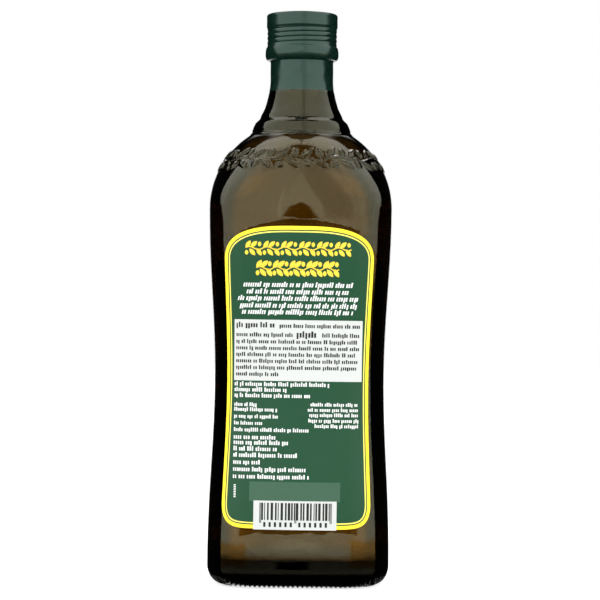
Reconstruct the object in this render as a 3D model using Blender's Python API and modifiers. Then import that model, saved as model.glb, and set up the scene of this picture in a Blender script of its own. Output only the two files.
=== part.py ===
# One-litre olive oil bottle: a waisted, soft-cornered square glass bottle full of oil, closed by a
# screw cap under a shrink capsule, with a paper label on its back and on its front.
# Metres, +Z up. The origin is the centre of the base, the back label faces -Y.

import math

import bmesh
import bpy

MM = 0.001

# Glass body, outside
BODY_FOOT = 42.25 * MM  # half width of the body just above the heel
BODY_WAIST = 39.3 * MM
BODY_SHOULDER = 42.35 * MM
FOOT_Z = 12.0 * MM
WAIST_Z = 94.0 * MM
SHOULDER_Z = 171.0 * MM
SHOULDER_RISE = 41.0 * MM  # the shoulder is nearly an ellipse, cut off by the neck ring
SHOULDER_POWER = 1 / 2.2
SHOULDER_END_Z = 205.7 * MM
CORNER_RADIUS = 19.5 * MM
FACE_TURN = math.radians(5.0)  # each face bows by this much from its middle to its corner
ROUND_FROM_Z = 168.0 * MM  # the section turns from square to round between these heights
ROUND_TO_Z = 205.0 * MM

# Heel and base
HEEL_RISE = 9.2 * MM
HEEL_INSET = 8.0 * MM
BEARING_WIDTH = 3.0 * MM
BEARING_CORNER = 16.0 * MM
PUNT_DEPTH = 4.2 * MM
PUNT_SHARES = (0.3, 0.6, 0.85)  # where the punt's rings lie on the way to the bearing ring
BODY_FROM_Z = 18.0 * MM  # the body's own rings start here, above the heel

# Neck
RING_FOOT = (206.8 * MM, 23.05 * MM)  # height and radius where the neck ring meets the shoulder
RING_EDGE = (209.6 * MM, 22.3 * MM)
RING_BREAK = (211.3 * MM, 21.5 * MM)
RING_TOP = (213.3 * MM, 19.45 * MM)
FLARE_TOP_Z = 231.5 * MM
FLARE_HEIGHT = 17.7 * MM
FLARE_GROWTH = 4.25 * MM
FLARE_POWER = 1.8
FLARE_FROM_Z = 214.9 * MM
DRAW_IN = (1.5 * MM, 0.3 * MM)  # the glass draws in between these drops below the film's edge
NECK_RADIUS = 14.65 * MM  # over the shrink capsule
MOUTH_Z = 259.9 * MM
MOUTH_ROUNDING = 0.8 * MM
BORE_RADIUS = 10.5 * MM

# Glass inside
WALL = 2.8 * MM
FLOOR_Z = 10.3 * MM
FLOOR_CROWN = 0.8 * MM
INNER_HEEL = 5.0 * MM
INNER_HEEL_CORNER = 3.0 * MM  # the inner corner is this much rounder at the floor
INNER_BODY_FROM = 10.0 * MM  # the inner body's rings start this far above the heel's
INNER_SHOULDER_RISE = 38.6 * MM
INNER_SHOULDER_END_Z = 205.4 * MM
INNER_NECK_FOOT = (209.0 * MM, 14.9 * MM)
OIL_LEVEL = 214.0 * MM
LEVEL_SPACE = 1.5 * MM  # no ring of the oil lies closer than this under its level

# Closure
CLEARANCE = 0.3 * MM
FILM = 0.3 * MM
TOTAL_HEIGHT = 262.0 * MM
FILM_END_Z = 226.0 * MM
BEAD_Z = 243.8 * MM
BEAD_RADIUS = 17.05 * MM
BEAD_HALF_HEIGHT = 3.3 * MM
BEAD_POWER = 0.6
BEAD_FOOT_SWELL = 0.15  # the bead's ends still stand out by this share
SKIRT_TOP_DROP = 1.2 * MM  # the film turns into the bead this far below it
CAP_RADIUS = 16.2 * MM  # of the thread stretch, over the film
CAP_TOP_RADIUS = 16.5 * MM
THREAD_FROM_Z = 247.6 * MM
THREAD_TO_Z = 255.2 * MM
THREAD_TURNS = 3
THREAD_DEPTH = 0.25 * MM
THREAD_CREST = 0.3  # where a turn's crest and root lie, as shares of its pitch
THREAD_ROOT = 0.65
TOP_BAND_RISE = 0.9 * MM
RIM_ROUNDING = 1.1 * MM
LIP_RADIUS = 12.6 * MM  # of the hole that the film leaves over the cap's top
CAP_EDGE = 1.0 * MM
CAP_BEAD_TOP = 2.4 * MM  # heights on the cap, from the middle of its bead
CAP_BEAD_HIGH = 0.7 * MM
CAP_BEAD_LOW = 0.9 * MM
CAP_FOOT = 1.6 * MM
CAP_FOOT_INSET = 0.7 * MM

# Labels
PAPER = 0.3 * MM
LABEL_HALF_WIDTH = 34.7 * MM  # along the glass, at the foot and the shoulder
LABEL_WAIST_LOSS = 2.0 * MM
LABEL_FOOT_Z = 27.3 * MM
LABEL_HEIGHT = 135.2 * MM
LABEL_ARCH = 15.5 * MM
LABEL_ARCH_POWER = 3.2
LABEL_FOOT_ARCH = 12.0 * MM
LABEL_FOOT_POWER = 9.0
LABEL_CORNER_POWER = 1 / 2.2  # how both ends of the label round into its sides
BACK_LABEL_SHIFT = -0.9 * MM
BACK_LABEL_TILT = math.radians(0.4)
LABEL_COLUMNS = 18
LABEL_ROWS = 12
LABEL_TIP = 0.9995  # the outline is cut off here, just short of its sides' ends

CORNER_STEPS = 6  # faces round each corner of a section
TURN_STEPS = 30  # faces round a turned piece


def clear_scene():
    for obj in list(bpy.data.objects):
        bpy.data.objects.remove(obj, do_unlink=True)


def smooth_step(value, low, high):
    t = min(1.0, max(0.0, (value - low) / (high - low)))
    return t * t * (3 - 2 * t)


# Sections: a square with bowed faces and round corners, which is a circle where its corner radius
# is its half width

def face_radius(half_width, corner):
    spread = math.cos(FACE_TURN) - math.sin(FACE_TURN)
    return (half_width - corner * spread) / (1 - spread)


def corner_centre(half_width, corner):
    return (face_radius(half_width, corner) - corner) * math.sin(FACE_TURN)


def section_point(half_width, corner, turn):
    # The point of the first quadrant whose outward normal is turned by this angle from +X
    flat = face_radius(half_width, corner)
    if turn < FACE_TURN:
        return half_width - flat * (1 - math.cos(turn)), flat * math.sin(turn)
    if turn > math.pi / 2 - FACE_TURN:
        y, x = section_point(half_width, corner, math.pi / 2 - turn)
        return x, y
    centre = corner_centre(half_width, corner)
    return centre + corner * math.cos(turn), centre + corner * math.sin(turn)


def section(half_width, corner):
    arc = math.pi / 2 - 2 * FACE_TURN
    turns = [0.0, FACE_TURN / 2]
    turns += [FACE_TURN + arc * i / CORNER_STEPS for i in range(CORNER_STEPS + 1)]
    turns += [math.pi / 2 - FACE_TURN / 2]
    quarter = [section_point(half_width, corner, turn) for turn in turns]
    points = []
    for _ in range(4):
        points += quarter
        quarter = [(-y, x) for x, y in quarter]
    return points


# The outer and inner form of the glass, as half widths and corner radii at a height

def body_half_width(z):
    if z < WAIST_Z:
        swing = math.cos(math.pi * max(0.0, z - FOOT_Z) / (WAIST_Z - FOOT_Z))
        return (BODY_FOOT + BODY_WAIST) / 2 + (BODY_FOOT - BODY_WAIST) / 2 * swing
    if z < SHOULDER_Z:
        swing = -math.cos(math.pi * (z - WAIST_Z) / (SHOULDER_Z - WAIST_Z))
        return (BODY_SHOULDER + BODY_WAIST) / 2 + (BODY_SHOULDER - BODY_WAIST) / 2 * swing
    return BODY_SHOULDER * (1 - ((z - SHOULDER_Z) / SHOULDER_RISE) ** 2) ** SHOULDER_POWER


def inner_half_width(z):
    if z < SHOULDER_Z:
        return body_half_width(z) - WALL
    lean = (z - SHOULDER_Z) / INNER_SHOULDER_RISE
    return (BODY_SHOULDER - WALL) * (1 - lean**2) ** SHOULDER_POWER


def corner_at(z, half_width, corner=CORNER_RADIUS):
    roundness = smooth_step(z, ROUND_FROM_Z, ROUND_TO_Z)
    return corner + (half_width - corner) * roundness


def flare_radius(z):
    drop = max(0.0, FLARE_TOP_Z - z) / FLARE_HEIGHT
    return NECK_RADIUS + FLARE_GROWTH * drop**FLARE_POWER


def neck_glass_radius(z):
    # The glass draws in where the film starts, to leave room for it
    start, end = (FILM_END_Z - drop for drop in DRAW_IN)
    return flare_radius(z) - (FILM + CLEARANCE) * smooth_step(z, start, end)


def heights(low, high, count):
    return [low + (high - low) * i / count for i in range(count + 1)]


def outer_rings():
    rings = []
    bearing_out = BODY_FOOT - HEEL_INSET
    bearing_in = bearing_out - BEARING_WIDTH
    for share in PUNT_SHARES:
        half_width = bearing_in * share
        corner = max(BEARING_CORNER * share, half_width * (1 - share))
        rings.append((PUNT_DEPTH * (1 - share**3), half_width, corner))
    rings.append((0.0, bearing_in, BEARING_CORNER - BEARING_WIDTH))
    for i in range(6):
        turn = math.pi / 2 * i / 5
        z = HEEL_RISE * (1 - math.cos(turn))
        half_width = bearing_out + HEEL_INSET * math.sin(turn)
        corner = BEARING_CORNER + (CORNER_RADIUS - BEARING_CORNER) * math.sin(turn)
        rings.append((z, half_width, corner))
    for z in heights(BODY_FROM_Z, SHOULDER_Z, 16):
        half_width = body_half_width(z)
        rings.append((z, half_width, corner_at(z, half_width)))
    for i in range(1, 8):
        lean = math.asin((SHOULDER_END_Z - SHOULDER_Z) / SHOULDER_RISE) * i / 7
        z = SHOULDER_Z + SHOULDER_RISE * math.sin(lean)
        half_width = body_half_width(z)
        rings.append((z, half_width, corner_at(z, half_width)))
    for z, radius in (RING_FOOT, RING_EDGE, RING_BREAK, RING_TOP):
        rings.append((z, radius, radius))
    flare = heights(FLARE_FROM_Z, FILM_END_Z - DRAW_IN[0], 4)
    for z in flare + [FILM_END_Z - DRAW_IN[1], FLARE_TOP_Z]:
        rings.append((z, neck_glass_radius(z), neck_glass_radius(z)))
    neck = NECK_RADIUS - FILM - CLEARANCE
    for z, radius in ((MOUTH_Z - MOUTH_ROUNDING, neck), (MOUTH_Z, neck - MOUTH_ROUNDING)):
        rings.append((z, radius, radius))
    return rings


def neck_inner_radius(z):
    # The bore widens smoothly from under the finish down to the shoulder
    foot_z, foot_radius = INNER_NECK_FOOT
    share = min(1.0, max(0.0, (FLARE_TOP_Z - z) / (FLARE_TOP_Z - foot_z)))
    return BORE_RADIUS + (foot_radius - BORE_RADIUS) * share**2


def inner_rings(gap=0.0, top=None):
    # From the floor up. A gap draws the form in on all sides, which gives the oil's own outside.
    rings = []
    floor = FLOOR_Z + gap
    start = inner_half_width(FLOOR_Z + INNER_HEEL) - INNER_HEEL
    for share in (0.4, 0.75):
        z = floor + FLOOR_CROWN * (1 - share**2)
        rings.append((z, start * share - gap, start * share * 0.5))
    for i in range(5):
        turn = math.pi / 2 * i / 4
        z = floor + INNER_HEEL * (1 - math.cos(turn))
        half_width = start + INNER_HEEL * math.sin(turn) - gap
        rings.append((z, half_width, CORNER_RADIUS - WALL + INNER_HEEL_CORNER * (1 - math.sin(turn))))
    for z in heights(floor + INNER_HEEL + INNER_BODY_FROM, SHOULDER_Z, 9):
        half_width = inner_half_width(z) - gap
        rings.append((z, half_width, corner_at(z, half_width, CORNER_RADIUS - WALL)))
    for i in range(1, 7):
        lean = math.asin((INNER_SHOULDER_END_Z - SHOULDER_Z) / INNER_SHOULDER_RISE) * i / 6
        z = SHOULDER_Z + INNER_SHOULDER_RISE * math.sin(lean)
        half_width = inner_half_width(z) - gap
        rings.append((z, half_width, corner_at(z, half_width, CORNER_RADIUS - WALL)))
    for z in heights(INNER_NECK_FOOT[0], FLARE_TOP_Z, 4):
        radius = neck_inner_radius(z) - gap
        rings.append((z, radius, radius))
    if top is not None:
        rings = [ring for ring in rings if ring[0] < top - LEVEL_SPACE]
        radius = neck_inner_radius(top) - gap
        return rings + [(top, radius, radius)]
    rings.append((MOUTH_Z - MOUTH_ROUNDING, BORE_RADIUS, BORE_RADIUS))
    mouth = BORE_RADIUS + MOUTH_ROUNDING
    return rings + [(MOUTH_Z, mouth, mouth)]


# Mesh makers

def new_object(name, mesh, material, collection):
    obj = bpy.data.objects.new(name, mesh)
    obj.data.materials.append(material)
    collection.objects.link(obj)
    return obj


def loft(name, rings, material, collection, start_z, end_z):
    # A closed skin through the rings, closed at both ends by a point on the axis
    mesh = bpy.data.meshes.new(name)
    bm = bmesh.new()
    loops = []
    for z, half_width, corner in rings:
        loops.append([bm.verts.new((x, y, z)) for x, y in section(half_width, corner)])
    for low, high in zip(loops, loops[1:]):
        for i in range(len(low)):
            j = (i + 1) % len(low)
            bm.faces.new((low[i], low[j], high[j], high[i]))
    for loop, z in ((loops[0], start_z), (loops[-1], end_z)):
        tip = bm.verts.new((0, 0, z))
        for i in range(len(loop)):
            bm.faces.new((loop[(i + 1) % len(loop)], loop[i], tip))
    bmesh.ops.recalc_face_normals(bm, faces=bm.faces)
    bm.to_mesh(mesh)
    bm.free()
    obj = new_object(name, mesh, material, collection)
    mesh.shade_smooth()
    mesh.set_sharp_from_angle(angle=math.radians(35))
    return obj


def turned(name, profile, material, collection):
    # A closed outline of radius and height, turned about the axis
    mesh = bpy.data.meshes.new(name)
    edges = [(i, (i + 1) % len(profile)) for i in range(len(profile))]
    on_axis = [i for i, (radius, _) in enumerate(profile) if radius == 0]
    if on_axis:
        edges = [edge for edge in edges if not set(edge) <= set(on_axis)]
    mesh.from_pydata([(radius, 0, z) for radius, z in profile], edges, [])
    obj = new_object(name, mesh, material, collection)
    screw = obj.modifiers.new("turn", "SCREW")
    screw.steps = TURN_STEPS
    screw.render_steps = TURN_STEPS
    screw.use_merge_vertices = True
    screw.merge_threshold = 0.00001
    return obj


def label_surface(s, z, lift):
    # The point of the back face that lies s along the glass from its middle, at a height
    half_width = body_half_width(z)
    corner = corner_at(z, half_width)
    flat = face_radius(half_width, corner)
    reach = flat * FACE_TURN
    side = math.copysign(1.0, s)
    if abs(s) <= reach:
        turn = abs(s) / flat
        x = flat * math.sin(turn)
        out = half_width - flat * (1 - math.cos(turn))
    else:
        turn = FACE_TURN + (abs(s) - reach) / corner
        centre = corner_centre(half_width, corner)
        x = centre + corner * math.sin(turn)
        out = centre + corner * math.cos(turn)
    return side * (x + lift * math.sin(turn)), -(out + lift * math.cos(turn)), z


def label_half_width(z):
    waist = 0.5 - 0.5 * math.cos(2 * math.pi * (z - FOOT_Z) / (SHOULDER_Z - FOOT_Z))
    return LABEL_HALF_WIDTH - LABEL_WAIST_LOSS * waist


def label_top(share):
    drop = 1 - (1 - abs(share) ** LABEL_ARCH_POWER) ** LABEL_CORNER_POWER
    return LABEL_FOOT_Z + LABEL_HEIGHT - LABEL_ARCH * drop


def label_foot(share):
    rise = 1 - (1 - abs(share) ** LABEL_FOOT_POWER) ** LABEL_CORNER_POWER
    return LABEL_FOOT_Z + LABEL_FOOT_ARCH * rise


def label(name, material, collection, shift=0.0, tilt=0.0):
    # Columns run from the foot's edge to the arch's edge, closer together towards the sides
    mesh = bpy.data.meshes.new(name)
    bm = bmesh.new()
    middle = LABEL_FOOT_Z + LABEL_HEIGHT / 2
    grid = []
    for i in range(LABEL_COLUMNS + 1):
        share = math.sin(math.pi / 2 * (2 * i / LABEL_COLUMNS - 1)) * LABEL_TIP
        column = []
        for z in heights(label_foot(share), label_top(share), LABEL_ROWS):
            s = share * label_half_width(z)
            turned_s = s * math.cos(tilt) + (z - middle) * math.sin(tilt) + shift
            turned_z = middle + (z - middle) * math.cos(tilt) - s * math.sin(tilt)
            column.append(bm.verts.new(label_surface(turned_s, turned_z, CLEARANCE)))
        grid.append(column)
    for left, right in zip(grid, grid[1:]):
        for i in range(LABEL_ROWS):
            bm.faces.new((left[i], right[i], right[i + 1], left[i + 1]))
    bm.to_mesh(mesh)
    bm.free()
    obj = new_object(name, mesh, material, collection)
    thick = obj.modifiers.new("paper", "SOLIDIFY")
    thick.thickness = PAPER
    thick.offset = 1.0
    return obj


def material(name, colour, roughness, metallic=0.0, transmission=0.0):
    made = bpy.data.materials.new(name)
    made.use_nodes = True
    shader = made.node_tree.nodes["Principled BSDF"]
    shader.inputs["Base Color"].default_value = (*colour, 1.0)
    shader.inputs["Roughness"].default_value = roughness
    shader.inputs["Metallic"].default_value = metallic
    shader.inputs["Transmission Weight"].default_value = transmission
    made.diffuse_color = (*colour, 1.0)
    return made


# Sub-parts

def glass_bottle(collection):
    glass = material("dark_olive_glass", (0.035, 0.03, 0.012), 0.05, transmission=0.6)
    rings = outer_rings() + list(reversed(inner_rings()))
    return loft("glass_bottle", rings, glass, collection, PUNT_DEPTH, FLOOR_Z + FLOOR_CROWN)


def olive_oil(collection):
    oil = material("olive_oil", (0.42, 0.27, 0.02), 0.02, transmission=0.8)
    rings = inner_rings(gap=CLEARANCE, top=OIL_LEVEL)
    return loft("olive_oil", rings, oil, collection, FLOOR_Z + FLOOR_CROWN + CLEARANCE, OIL_LEVEL)


def film_outline():
    # Radius and height along the outside of the film, from its cut edge at the neck to its lip
    outline = [(flare_radius(z), z) for z in heights(FILM_END_Z, FLARE_TOP_Z, 2)]
    outline.append((NECK_RADIUS, BEAD_Z - BEAD_HALF_HEIGHT - SKIRT_TOP_DROP))
    for share in (-1.0, -0.75, -0.4, 0.0, 0.4, 0.75, 1.0):
        foot = NECK_RADIUS if share < 0 else CAP_RADIUS
        swell = max(BEAD_FOOT_SWELL, math.cos(math.pi / 2 * share) ** BEAD_POWER)
        radius = foot + (BEAD_RADIUS - foot) * swell
        outline.append((radius, BEAD_Z + BEAD_HALF_HEIGHT * share))
    pitch = (THREAD_TO_Z - THREAD_FROM_Z) / THREAD_TURNS
    for turn in range(THREAD_TURNS):
        foot = THREAD_FROM_Z + turn * pitch
        outline.append((CAP_RADIUS, foot + THREAD_CREST * pitch))
        outline.append((CAP_RADIUS - THREAD_DEPTH, foot + THREAD_ROOT * pitch))
    outline.append((CAP_RADIUS - THREAD_DEPTH, THREAD_TO_Z))
    outline.append((CAP_TOP_RADIUS, THREAD_TO_Z + TOP_BAND_RISE))
    centre = (CAP_TOP_RADIUS - RIM_ROUNDING, TOTAL_HEIGHT - RIM_ROUNDING)
    for i in range(5):
        turn = math.pi / 2 * i / 4
        outline.append((centre[0] + RIM_ROUNDING * math.cos(turn), centre[1] + RIM_ROUNDING * math.sin(turn)))
    outline.append((LIP_RADIUS, TOTAL_HEIGHT))
    return outline


def drawn_in(outline, depth):
    # The outline moved inwards, square to its own run
    moved = []
    for i, (radius, z) in enumerate(outline):
        before = outline[max(0, i - 1)]
        after = outline[min(len(outline) - 1, i + 1)]
        run = (after[0] - before[0], after[1] - before[1])
        length = math.hypot(*run)
        moved.append((radius - depth * run[1] / length, z + depth * run[0] / length))
    return moved


def shrink_capsule(collection):
    film = material("green_shrink_film", (0.02, 0.055, 0.042), 0.25)
    outline = film_outline()
    inside = drawn_in(outline, FILM)
    return turned("shrink_capsule", list(reversed(outline)) + inside, film, collection)


def screw_cap(collection):
    cap = material("green_cap", (0.02, 0.06, 0.045), 0.35, metallic=0.6)
    outside = CAP_RADIUS - THREAD_DEPTH - FILM - CLEARANCE
    inside = NECK_RADIUS - FILM
    top = TOTAL_HEIGHT - FILM - CLEARANCE
    foot = BEAD_Z - CAP_FOOT
    bead = BEAD_RADIUS - FILM - 2 * CLEARANCE
    profile = [
        (0, top),
        (outside - CAP_EDGE, top),
        (outside, top - CAP_EDGE),
        (outside, BEAD_Z + CAP_BEAD_TOP),
        (bead, BEAD_Z + CAP_BEAD_HIGH),
        (bead, BEAD_Z - CAP_BEAD_LOW),
        (bead - CAP_FOOT_INSET, foot),
        (inside, foot),
        (inside, MOUTH_Z + CLEARANCE),
        (0, MOUTH_Z + CLEARANCE),
    ]
    return turned("screw_cap", profile, cap, collection)


def labels(collection):
    paper = material("printed_paper", (0.04, 0.11, 0.06), 0.45)
    label("back_label", paper, collection, shift=BACK_LABEL_SHIFT, tilt=BACK_LABEL_TILT)
    front = label("front_label", paper, collection)
    front.rotation_euler = (0, 0, math.pi)


def build():
    clear_scene()
    bottle = bpy.data.collections.new("olive_oil_bottle")
    bpy.context.scene.collection.children.link(bottle)
    glass_bottle(bottle)
    olive_oil(bottle)
    screw_cap(bottle)
    shrink_capsule(bottle)
    labels(bottle)


build()
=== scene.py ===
import math

import bpy
import numpy as np
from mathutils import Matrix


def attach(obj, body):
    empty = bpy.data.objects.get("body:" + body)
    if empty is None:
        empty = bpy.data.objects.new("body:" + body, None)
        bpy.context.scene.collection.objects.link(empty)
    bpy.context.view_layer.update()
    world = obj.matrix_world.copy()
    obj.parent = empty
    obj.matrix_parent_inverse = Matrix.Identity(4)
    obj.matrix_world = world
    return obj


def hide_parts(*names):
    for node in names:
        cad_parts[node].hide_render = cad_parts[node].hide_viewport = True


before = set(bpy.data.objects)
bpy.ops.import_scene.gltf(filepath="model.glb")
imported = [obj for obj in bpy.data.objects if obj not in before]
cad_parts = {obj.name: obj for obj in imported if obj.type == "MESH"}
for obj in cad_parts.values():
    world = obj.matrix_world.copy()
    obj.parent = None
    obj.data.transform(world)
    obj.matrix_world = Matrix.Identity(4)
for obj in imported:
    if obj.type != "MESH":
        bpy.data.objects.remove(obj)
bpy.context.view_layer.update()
scene = bpy.context.scene
mm = 0.001  # shapes are worked out in millimetres and put into the meshes in metres
print("frame loaded:", ", ".join(sorted(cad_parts)))


def linear(hexColour):
    # sRGB hex to linear: the low end is divided by 12.92, the rest follows the 2.4 power curve
    parts = [int(hexColour[i:i + 2], 16) / 255 for i in (0, 2, 4)]
    return tuple(c / 12.92 if c <= 0.04045 else ((c + 0.055) / 1.055) ** 2.4 for c in parts) + (1.0,)


def smoothStep(value, low, high):
    # 3t^2 - 2t^3, with t the share of the way from low to high, held to 0..1
    t = np.clip((value - low) / (high - low), 0.0, 1.0)
    return t * t * (3 - 2 * t)


def addNode(tree, kind, values=None, links=None, **settings):
    node = tree.nodes.new(kind)
    for name, value in settings.items():
        setattr(node, name, value)
    for name, value in (values or {}).items():
        node.inputs[name].default_value = value
    for name, source in (links or {}).items():
        tree.links.new(source.outputs[0] if hasattr(source, "outputs") else source, node.inputs[name])
    return node


def rangeNode(tree, value, low, high, toLow=0.0, toHigh=1.0, smooth=False):
    # the share of the way that a value has come from low to high, brought to another range
    ends = {"From Min": low, "From Max": high, "To Min": toLow, "To Max": toHigh}
    kind = "SMOOTHSTEP" if smooth else "LINEAR"
    return addNode(tree, "ShaderNodeMapRange", ends, {"Value": value}, interpolation_type=kind)


def startMaterial(name, sockets):
    material = bpy.data.materials.new(name)
    material.use_nodes = True
    tree = material.node_tree
    shader = tree.nodes["Principled BSDF"]
    for socket, value in sockets.items():
        shader.inputs[socket].default_value = value
    return material, tree, shader


def clearMaterial(name, ior, finish):
    # mirror smooth and clear, with a depth that takes up light
    material, tree, shader = startMaterial(name, {
        "Base Color": (1.0, 1.0, 1.0, 1.0), "Roughness": 0.0, "IOR": ior, "Transmission Weight": 1.0,
    })
    clear = {"Color": finish["depthColour"], "Density": finish["density"]}
    depth = addNode(tree, "ShaderNodeVolumeAbsorption", clear)
    tree.links.new(depth.outputs["Volume"], tree.nodes["Material Output"].inputs["Volume"])
    return material, tree, shader


def fineSurface(tree, shader, base, spread, gloss, coarse, fine, depth):
    # two noises sized in mm: the coarse one shifts colour and roughness a little, the fine one is bump
    place = addNode(tree, "ShaderNodeTexCoord").outputs["Object"]
    big = addNode(tree, "ShaderNodeTexNoise", {"Scale": 1000 / coarse, "Detail": 3.0}, {"Vector": place})
    small = addNode(tree, "ShaderNodeTexNoise", {"Scale": 1000 / fine, "Detail": 2.0}, {"Vector": place})
    bump = addNode(tree, "ShaderNodeBump", {"Strength": 1.0, "Distance": depth * mm}, {"Height": small})
    shade = rangeNode(tree, big, 0.0, 1.0, 1 - spread, 1 + spread)
    paint = addNode(tree, "ShaderNodeVectorMath", {0: linear(base)[:3]}, {1: shade}, operation="MULTIPLY")
    roughness = rangeNode(tree, big, 0.3, 0.7, *gloss)  # most of a noise's values lie between these two
    tree.links.new(bump.outputs["Normal"], shader.inputs["Normal"])
    tree.links.new(paint.outputs["Vector"], shader.inputs["Base Color"])
    tree.links.new(roughness.outputs["Result"], shader.inputs["Roughness"])


def newPiece(name, points, faces, material, smooth=True):
    # points in millimetres, faces as lists of indices; turned outwards where the signed volume is negative
    points = np.asarray(points, float).reshape(-1, 3)
    volume = 0.0
    for group in faces:
        group = np.asarray(group)
        for k in range(1, group.shape[1] - 1):
            a, b, c = points[group[:, 0]], points[group[:, k]], points[group[:, k + 1]]
            volume += np.einsum("ij,ij->", a, np.cross(b, c)) / 6
    rows = []
    for group in faces:
        group = np.asarray(group)
        rows += (group if volume > 0 else group[:, ::-1]).tolist()
    mesh = bpy.data.meshes.new(name)
    mesh.from_pydata((points * mm).tolist(), [], rows)
    mesh.update()
    if smooth:
        mesh.shade_smooth()
    mesh.materials.append(material)
    piece = bpy.data.objects.new(name, mesh)
    scene.collection.objects.link(piece)
    return piece


def quads(rows, columns, wrap=True, first=0):
    # the faces between neighbouring rows of a grid, whose rows close on themselves where wrap is set
    i, j = np.meshgrid(np.arange(rows - 1), np.arange(columns if wrap else columns - 1), indexing="ij")
    i, j = i.ravel(), j.ravel()
    k = (j + 1) % columns
    here, beside = i * columns + j, i * columns + k
    return np.stack([here, beside, beside + columns, here + columns], 1) + first


def closedByPoles(rings):
    # points and faces of a skin through the rings, with a point closing each end
    rows, columns, _ = rings.shape
    points = np.concatenate([rings.reshape(-1, 3), rings[:1].mean(1), rings[-1:].mean(1)])
    j = np.arange(columns)
    k = (j + 1) % columns
    last = (rows - 1) * columns
    low = np.stack([k, j, np.full(columns, rows * columns)], 1)
    high = np.stack([j + last, k + last, np.full(columns, rows * columns + 1)], 1)
    return points, [quads(rows, columns), low, high]


def closedByHalving(fine, coarse):
    # a skin through fine rings and on through rings of half as many points, with a point closing each end
    rows, columns, _ = fine.shape
    low = rows * columns
    poles = [fine[:1].mean(1), coarse[-1:].mean(1)]
    points = np.concatenate([fine.reshape(-1, 3), coarse.reshape(-1, 3), *poles])
    half = columns // 2
    j = np.arange(half)
    k = (j + 1) % half
    a, b, c = low - columns + 2 * j, low - columns + 2 * j + 1, low - columns + 2 * k
    step = [(a, b, low + j), (b, c, low + k), (b, low + k, low + j)]
    step = np.concatenate([np.stack(corners, 1) for corners in step])
    i = np.arange(columns)
    start = np.stack([(i + 1) % columns, i, np.full(columns, len(points) - 2)], 1)
    last = low + (len(coarse) - 1) * half
    end = np.stack([j + last, k + last, np.full(half, len(points) - 1)], 1)
    return points, [quads(rows, columns), quads(len(coarse), half, first=low), step, start, end]


def closedRound(rings):
    # points and faces of a skin through the rings whose last ring joins the first
    rows, columns, _ = rings.shape
    closed = quads(rows + 1, columns) % (rows * columns)
    return rings.reshape(-1, 3), [closed]


def slab(top, bottom):
    # two grids of the same size joined along their rims
    rows, columns, _ = top.shape
    count = rows * columns
    face = quads(rows, columns, wrap=False)
    index = np.arange(count).reshape(rows, columns)
    rim = np.concatenate([index[0, :-1], index[:-1, -1], index[-1, :0:-1], index[:0:-1, 0]])
    turn = np.roll(rim, -1)
    side = np.stack([turn, rim, rim + count, turn + count], 1)
    points = np.concatenate([top.reshape(-1, 3), bottom.reshape(-1, 3)])
    return points, [np.concatenate([face, face[:, ::-1] + count, side])]


def joined(parts):
    # several sets of points and faces as one
    points, groups, start = [], [], 0
    for part, faces in parts:
        points.append(part)
        groups += [np.asarray(group) + start for group in faces]
        start += len(part)
    return np.concatenate(points), groups


def unitNormals(rings):
    # the cross product of the steps along and across the grid, for rows that close on themselves
    along = np.roll(rings, -1, 1) - np.roll(rings, 1, 1)
    across = np.gradient(rings, axis=0)
    normal = np.cross(along, across)
    return normal / np.maximum(np.linalg.norm(normal, axis=2, keepdims=True), 1e-9)


# the form of the glass, in millimetres and radians: a square section with bowed faces and round corners
glassForm = {
    "footHalf": 42.25, "waistHalf": 39.3, "shoulderHalf": 42.35,
    "footZ": 12.0, "waistZ": 94.0, "shoulderZ": 171.0,
    "shoulderRise": 41.0, "shoulderPower": 1 / 2.2, "shoulderEndZ": 205.7,
    "corner": 19.5, "faceTurn": math.radians(5.0), "roundFrom": 168.0, "roundTo": 205.0,
    "heelRise": 9.2, "heelInset": 8.0, "bearingWidth": 3.0, "bearingCorner": 16.0, "puntDepth": 4.2,
    "puntRows": 8,
    "ringPath": (
        (205.7, 24.3), (206.8, 23.05), (208.0, 22.85), (209.6, 22.3), (211.3, 21.5), (213.3, 19.45),
    ),
    "ringBlendZ": 216.5,
    "flareTopZ": 231.5, "flareHeight": 17.7, "flareGrowth": 4.25, "flarePower": 1.8,
    "swell": 0.3, "swellZ": 215.6, "swellTop": 218.6,
    "neckRadius": 14.65, "neckInset": 0.45, "neckInsetZ": 226.5, "neckStraightZ": 250.0,
    "mouthZ": 259.9, "boreRadius": 10.5, "mouthRounding": 0.8,
    "wall": 2.8, "floorZ": 10.3, "floorCrown": 0.8, "innerHeel": 5.0, "innerHeelCorner": 3.0,
    "innerShoulderRise": 38.6, "innerShoulderEndZ": 205.4, "innerNeckZ": 209.0, "innerNeckRadius": 14.9,
    "oilLevel": 214.0, "oilIntoWall": 0.15, "oilRise": 0.6, "oilRiseWidth": 1.6, "oilColumns": 224,
    "columns": 576, "knurlPitch": 2.14, "knurlDepth": 0.8, "knurlFadeFrom": 2.0, "knurlFadeTo": 6.0,
    # how the rows of the mesh are spread: from, to and count, over the shoulder as shares and up the flare
    "shoulderRows": ((0, 0.36, 8), (0.36, 0.86, 46), (0.86, 1, 5)),
    "flareRows": ((213.3, 219.0, 12), (219.0, 226.0, 7)),
}
form = glassForm


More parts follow.
